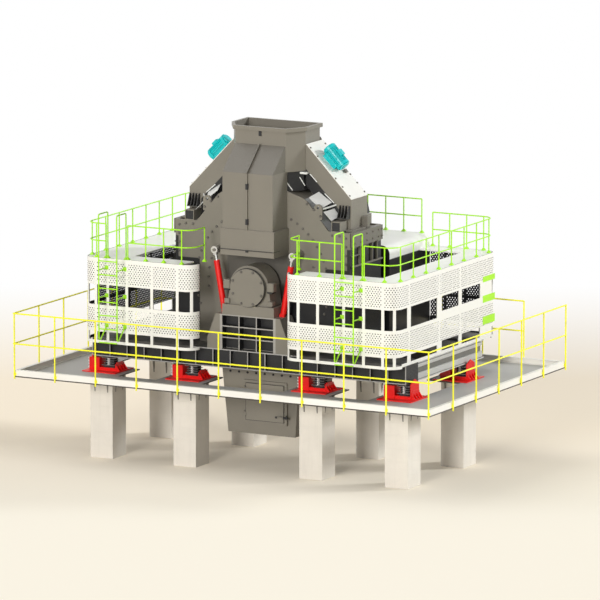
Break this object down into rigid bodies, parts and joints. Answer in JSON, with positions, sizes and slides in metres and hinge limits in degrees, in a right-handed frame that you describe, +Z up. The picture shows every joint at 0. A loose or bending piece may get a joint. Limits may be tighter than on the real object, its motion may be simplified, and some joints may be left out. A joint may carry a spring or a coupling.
{
  "type": "impact crusher",
  "caption": "reversible impact crusher on vibration isolators over a columned walkway, with feed inlet, air ducts, rack covers, bearings, guarded ends and discharge chute",
  "frame": {"origin": "centre of the walkway in plan, at ground level under the columns", "axes": "+X along the long side of the walkway, +Y away from the viewer, +Z up"},
  "size_m": [9.684, 6.306, 7.12],
  "materials": {
    "concrete": "matte, cast",
    "cap_steel": "satin paint",
    "deck_paint": "matte chequered plate",
    "white_paint": "satin paint",
    "yellow_paint": "gloss paint",
    "red_paint": "gloss paint",
    "spring_black": "matte moulded",
    "frame_black": "satin paint",
    "body_grey": "satin paint",
    "duct_grey": "satin paint",
    "guard_white": "satin powder coat",
    "lime_paint": "gloss paint",
    "teal_paint": "gloss paint",
    "rod_chrome": "polished"
  },
  "bodies": {
    "plant": {"support_columns": "concrete", "column_caps": "cap_steel", "walkway_deck": "deck_paint", "edge_channel": "white_paint", "front_handrail": "yellow_paint", "back_handrail": "yellow_paint", "left_handrail": "yellow_paint", "right_handrail": "yellow_paint", "isolator_seats": "red_paint", "isolator_springs": "spring_black", "base_front_girder": "frame_black", "base_back_girder": "frame_black", "base_end_beams": "body_grey", "base_inner_beams": "frame_black", "discharge_chute": "body_grey", "body_core": "body_grey", "body_front_plate": "body_grey", "body_back_plate": "body_grey", "body_end_walls": "body_grey", "feed_throat": "frame_black", "inlet_chute": "duct_grey", "front_air_duct": "duct_grey", "back_air_duct": "duct_grey", "rack_covers": "body_grey", "rack_top_sheets": "white_paint", "vibrator_motors": "teal_paint", "rack_brackets": "frame_black", "spring_tubes": "body_grey", "bearing_stands": "body_grey", "bearing_housings": "body_grey", "cylinder_barrels": "red_paint", "cylinder_rods": "rod_chrome", "cylinder_pins": "body_grey", "front_guards": "guard_white", "back_guards": "guard_white", "end_guards": "guard_white", "guard_floors": "cap_steel", "roof_decks": "guard_white", "front_roof_rails": "lime_paint", "end_roof_rails": "lime_paint", "back_roof_rails": "lime_paint", "ladders": "lime_paint", "drive_hood": "guard_white"},
    "door": {"chute_door": "body_grey"}
  },
  "joints": [
    {"name": "door_hinge", "type": "hinge", "parent": "plant", "child": "door", "pos_m": [-0.34, -1.38, 1.39], "axis": [0, 0, -1], "range_deg": [0, 100]}
  ]
}
